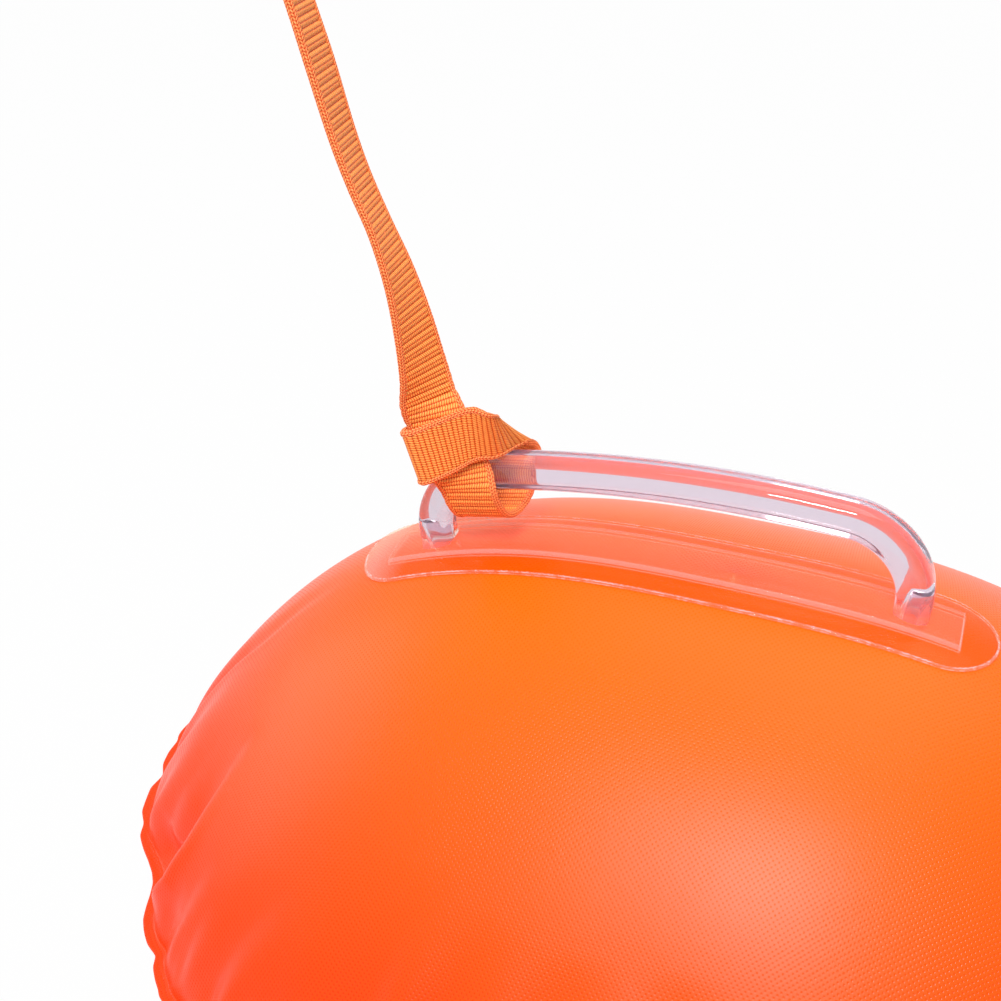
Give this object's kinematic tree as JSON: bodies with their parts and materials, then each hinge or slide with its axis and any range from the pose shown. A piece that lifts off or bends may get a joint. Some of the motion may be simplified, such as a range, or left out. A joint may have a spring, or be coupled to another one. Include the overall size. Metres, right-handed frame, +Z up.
{
  "type": "open water swim buoy",
  "caption": "Inflatable pillow-shaped tow float with a welded clear carry handle, a webbing leash slip-noosed to the grip, mouth valves and separate air chambers.",
  "frame": {"origin": "centre of the flat patch on which the float rests, under the middle of its box without the leash", "axes": "+X along the float and its handle, away from the noose; +Y across it, away from the side seen in the picture; +Z up, out of the crown that carries the handle"},
  "size_m": [0.441, 0.337, 0.4918],
  "materials": {
    "coated_skin": "orange coated woven nylon, satin, welded seam",
    "inner_film": "thin orange plastic sheet",
    "clear_handle": "clear moulded soft plastic, glossy",
    "clear_valve": "clear soft plastic, glossy",
    "webbing": "orange woven webbing with ribs across it",
    "thread": "orange sewing thread"
  },
  "bodies": {
    "buoy": {"upper_panel": "coated_skin", "lower_panel": "coated_skin", "chamber_wall": "inner_film", "carry_handle": "clear_handle", "upper_valve_base": "clear_valve", "lower_valve_base": "clear_valve"},
    "noose": {"leash_noose": "webbing"},
    "leash": {"leash_strap": "webbing", "leash_end_loop": "webbing", "end_loop_stitching": "thread"},
    "upper_stem": {"upper_valve_stem": "clear_valve", "upper_valve_tether": "clear_valve"},
    "upper_plug": {"upper_valve_plug": "clear_valve"},
    "upper_flap": {"upper_valve_flap": "clear_valve"},
    "lower_stem": {"lower_valve_stem": "clear_valve", "lower_valve_tether": "clear_valve"},
    "lower_plug": {"lower_valve_plug": "clear_valve"},
    "lower_flap": {"lower_valve_flap": "clear_valve"}
  },
  "joints": [
    {"name": "noose_slide", "type": "hinge", "parent": "buoy", "child": "noose", "pos_m": [0.00475, 0, -0.14324], "axis": [0, 1, 0], "range_deg": [0, 12]},
    {"name": "leash_swing", "type": "hinge", "parent": "noose", "child": "leash", "pos_m": [-0.10123, -0.012, 0.30245], "axis": [0.6139, 0.7779, 0.1339], "range_deg": [-60, 15]},
    {"name": "upper_stem_slide", "type": "slide", "parent": "buoy", "child": "upper_stem", "axis": [0.6241, 0, 0.7813], "range_m": [0, 0.009]},
    {"name": "upper_plug_slide", "type": "slide", "parent": "upper_stem", "child": "upper_plug", "axis": [0.6241, 0, 0.7813], "range_m": [0, 0.009]},
    {"name": "upper_flap_hinge", "type": "hinge", "parent": "upper_stem", "child": "upper_flap", "pos_m": [0.13289, 0, 0.19755], "axis": [0, 1, 0], "range_deg": [0, 50], "stiffness_Nm_per_rad": 0.0005, "springref_deg": -11.46},
    {"name": "lower_stem_slide", "type": "slide", "parent": "buoy", "child": "lower_stem", "axis": [0.6241, 0, -0.7813], "range_m": [0, 0.009]},
    {"name": "lower_plug_slide", "type": "slide", "parent": "lower_stem", "child": "lower_plug", "axis": [0.6241, 0, -0.7813], "range_m": [0, 0.009]},
    {"name": "lower_flap_hinge", "type": "hinge", "parent": "lower_stem", "child": "lower_flap", "pos_m": [0.14164, 0, 0.05744], "axis": [0, 1, 0], "range_deg": [0, 50], "stiffness_Nm_per_rad": 0.0005, "springref_deg": -11.46}
  ]
}
